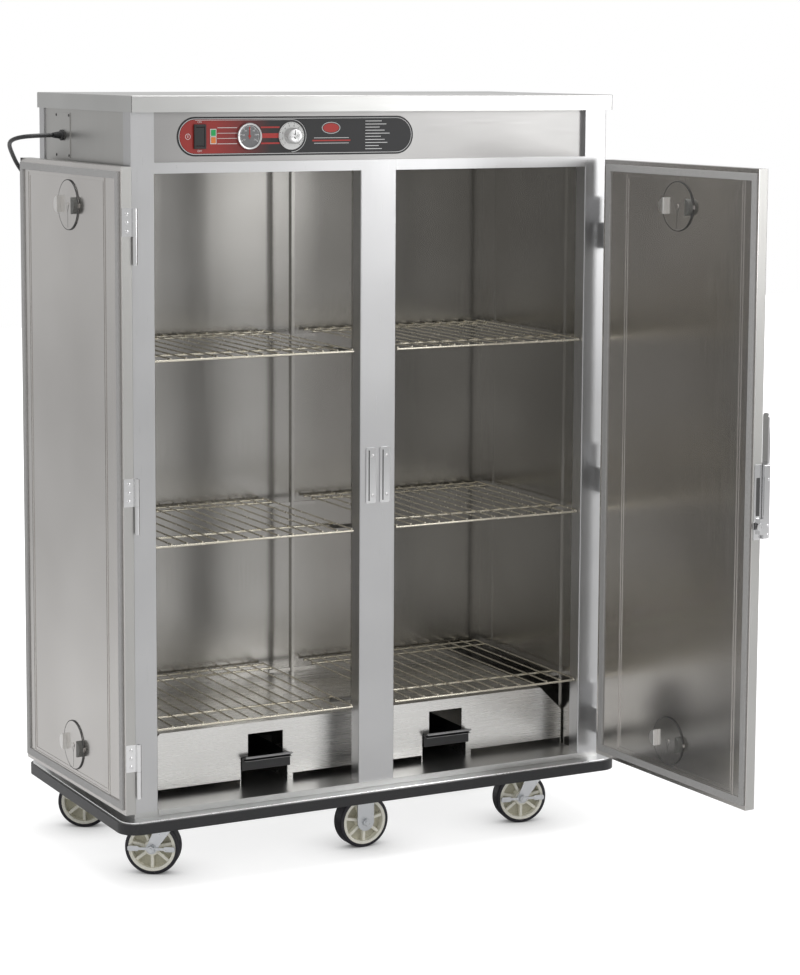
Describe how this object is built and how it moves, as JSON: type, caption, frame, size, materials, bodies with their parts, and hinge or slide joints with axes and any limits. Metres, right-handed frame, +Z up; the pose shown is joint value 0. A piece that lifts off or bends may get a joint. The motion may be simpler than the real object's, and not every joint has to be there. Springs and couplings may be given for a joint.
{
  "type": "heated banquet cabinet",
  "caption": "Upright two-door heated holding cabinet on casters, with wire shelves, a bumper round the base and a control panel above the doors.",
  "frame": {"origin": "on the floor, at the middle of the footprint with the doors as in the picture and without the power lead", "axes": "+X to the cabinet's right as seen from its front, +Y from the front to the back, +Z up"},
  "size_m": [1.3738, 1.397, 1.778],
  "materials": {
    "stainless": "brushed stainless steel, lengthwise grain",
    "galvanised": "zinc plated steel",
    "aluminium": "extruded aluminium",
    "vinyl": "dark grey vinyl",
    "cord": "black rubber jacket",
    "gasket": "grey silicone",
    "chrome": "bright chrome plate",
    "mirror_steel": "fine polished stainless steel sheet",
    "lens": "green and amber lenses",
    "overlay": "printed control overlay",
    "wire": "nickel plated wire",
    "black_plastic": "black moulded plastic",
    "needle": "red painted needle",
    "knob": "white dial with a silver grip",
    "insulation": "mineral wool",
    "wheel": "black tread on a cream spoked hub"
  },
  "bodies": {
    "root": {"back_panel": "stainless", "base_frame": "stainless", "bumper_channel": "aluminium", "bumper_insert": "vinyl", "caster_plates": "galvanised", "control_fascia": "stainless", "cord_coil": "cord", "floor_pan": "stainless", "frame_hardware": "chrome", "front_frame": "stainless", "heater_cover": "mirror_steel", "heating_elements": "stainless", "indicator_lights": "lens", "inner_liner": "mirror_steel", "label_plate": "overlay", "left_shelves": "wire", "power_cord": "cord", "power_plug": "cord", "right_shelves": "wire", "shelf_standards": "mirror_steel", "side_panel_left": "stainless", "side_panel_right": "stainless", "strain_relief": "cord", "thermometer": "chrome", "thermostat_body": "black_plastic", "top_deck": "stainless", "wall_insulation": "insulation"},
    "brake_front_left": {"brake_front_left": "galvanised"},
    "brake_front_right": {"brake_front_right": "galvanised"},
    "door_left": {"door_left_gasket": "gasket", "door_left_hinges": "chrome", "door_left_liner": "mirror_steel", "door_left_shell": "stainless", "latch_left_body": "chrome"},
    "door_right": {"door_right_gasket": "gasket", "door_right_hinges": "chrome", "door_right_liner": "mirror_steel", "door_right_shell": "stainless", "latch_right_body": "chrome"},
    "fork_front_left": {"fork_front_left": "galvanised"},
    "fork_front_right": {"fork_front_right": "galvanised"},
    "fork_rear_left": {"fork_rear_left": "galvanised"},
    "fork_rear_right": {"fork_rear_right": "galvanised"},
    "lever_left": {"latch_left_lever": "chrome"},
    "lever_right": {"latch_right_lever": "chrome"},
    "rocker": {"rocker_switch": "black_plastic"},
    "needle": {"thermometer_needle": "needle"},
    "knob": {"thermostat_knob": "knob"},
    "tray_left": {"tray_left": "mirror_steel"},
    "tray_right": {"tray_right": "mirror_steel"},
    "vent_left_lower": {"vent_left_lower": "stainless"},
    "vent_left_upper": {"vent_left_upper": "stainless"},
    "vent_right_lower": {"vent_right_lower": "stainless"},
    "vent_right_upper": {"vent_right_upper": "stainless"},
    "wheel_front_centre": {"wheel_front_centre": "wheel"},
    "wheel_front_left": {"wheel_front_left": "wheel"},
    "wheel_front_right": {"wheel_front_right": "wheel"},
    "wheel_rear_centre": {"wheel_rear_centre": "wheel"},
    "wheel_rear_left": {"wheel_rear_left": "wheel"},
    "wheel_rear_right": {"wheel_rear_right": "wheel"}
  },
  "joints": [
    {"name": "door_left_hinge", "type": "hinge", "parent": "root", "child": "door_left", "pos_m": [-0.61003, -0.01902, 0.9], "axis": [0, 0, -1], "range_deg": [-268.3, 0]},
    {"name": "door_right_hinge", "type": "hinge", "parent": "root", "child": "door_right", "pos_m": [0.61697, -0.01902, 0.9], "axis": [0, 0, 1], "range_deg": [-93, 175.3]},
    {"name": "vent_left_upper_turn", "type": "hinge", "parent": "door_left", "child": "vent_left_upper", "pos_m": [-0.64978, 0.27543, 1.5295], "axis": [-0.9996, -0.0297, 0], "range_deg": [-45, 45]},
    {"name": "vent_left_lower_turn", "type": "hinge", "parent": "door_left", "child": "vent_left_lower", "pos_m": [-0.64978, 0.27543, 0.28], "axis": [-0.9996, -0.0297, 0], "range_deg": [-45, 45]},
    {"name": "latch_left_turn", "type": "hinge", "parent": "door_left", "child": "lever_left", "pos_m": [-0.61206, 0.55518, 0.956], "axis": [-0.9996, -0.0297, 0], "range_deg": [-60, 0]},
    {"name": "vent_right_upper_turn", "type": "hinge", "parent": "door_right", "child": "vent_right_upper", "pos_m": [0.60148, -0.31573, 1.5295], "axis": [-0.9986, -0.0523, 0], "range_deg": [-45, 45]},
    {"name": "vent_right_lower_turn", "type": "hinge", "parent": "door_right", "child": "vent_right_lower", "pos_m": [0.60148, -0.31573, 0.28], "axis": [-0.9986, -0.0523, 0], "range_deg": [-45, 45]},
    {"name": "latch_right_turn", "type": "hinge", "parent": "door_right", "child": "lever_right", "pos_m": [0.66199, -0.59145, 0.956], "axis": [-0.9986, -0.0523, 0], "range_deg": [0, 60]},
    {"name": "rocker_tilt", "type": "hinge", "parent": "root", "child": "rocker", "pos_m": [-0.43553, 0.02998, 1.6875], "axis": [1, 0, 0], "range_deg": [0, 14]},
    {"name": "thermostat_turn", "type": "hinge", "parent": "root", "child": "knob", "pos_m": [-0.21193, 0.02098, 1.6875], "axis": [0, 1, 0], "range_deg": [0, 270]},
    {"name": "needle_sweep", "type": "hinge", "parent": "root", "child": "needle", "pos_m": [-0.31553, 0.02498, 1.6875], "axis": [0, 1, 0], "range_deg": [-120, 120]},
    {"name": "tray_left_slide", "type": "slide", "parent": "root", "child": "tray_left", "axis": [0, -1, 0], "range_m": [0, 0.22]},
    {"name": "tray_right_slide", "type": "slide", "parent": "root", "child": "tray_right", "axis": [0, -1, 0], "range_m": [0, 0.22]},
    {"name": "swivel_front_left", "type": "hinge", "parent": "root", "child": "fork_front_left", "pos_m": [-0.48153, 0.09398, 0.14], "axis": [0, 0, 1], "continuous": true},
    {"name": "roll_front_left", "type": "hinge", "parent": "fork_front_left", "child": "wheel_front_left", "pos_m": [-0.51879, 0.11921, 0.0635], "axis": [-0.5606, -0.8281, 0], "continuous": true},
    {"name": "brake_front_left_turn", "type": "hinge", "parent": "fork_front_left", "child": "brake_front_left", "pos_m": [-0.51879, 0.11921, 0.0635], "axis": [-0.5606, -0.8281, 0], "range_deg": [-15, 15]},
    {"name": "swivel_rear_left", "type": "hinge", "parent": "root", "child": "fork_rear_left", "pos_m": [-0.48153, 0.52398, 0.14], "axis": [0, 0, 1], "continuous": true},
    {"name": "roll_rear_left", "type": "hinge", "parent": "fork_rear_left", "child": "wheel_rear_left", "pos_m": [-0.5205, 0.54648, 0.0635], "axis": [-0.5, -0.866, 0], "continuous": true},
    {"name": "swivel_front_right", "type": "hinge", "parent": "root", "child": "fork_front_right", "pos_m": [0.48847, 0.09398, 0.14], "axis": [0, 0, 1], "continuous": true},
    {"name": "roll_front_right", "type": "hinge", "parent": "fork_front_right", "child": "wheel_front_right", "pos_m": [0.44439, 0.10303, 0.0635], "axis": [-0.2011, -0.9796, 0], "continuous": true},
    {"name": "brake_front_right_turn", "type": "hinge", "parent": "fork_front_right", "child": "brake_front_right", "pos_m": [0.44439, 0.10303, 0.0635], "axis": [-0.2011, -0.9796, 0], "range_deg": [-15, 15]},
    {"name": "swivel_rear_right", "type": "hinge", "parent": "root", "child": "fork_rear_right", "pos_m": [0.48847, 0.52398, 0.14], "axis": [0, 0, 1], "continuous": true},
    {"name": "roll_rear_right", "type": "hinge", "parent": "fork_rear_right", "child": "wheel_rear_right", "pos_m": [0.44619, 0.50859, 0.0635], "axis": [0.342, -0.9397, 0], "continuous": true},
    {"name": "roll_front_centre", "type": "hinge", "parent": "root", "child": "wheel_front_centre", "pos_m": [0.00347, 0.09398, 0.0635], "axis": [0, 1, 0], "continuous": true},
    {"name": "roll_rear_centre", "type": "hinge", "parent": "root", "child": "wheel_rear_centre", "pos_m": [0.00347, 0.52398, 0.0635], "axis": [0, 1, 0], "continuous": true}
  ]
}
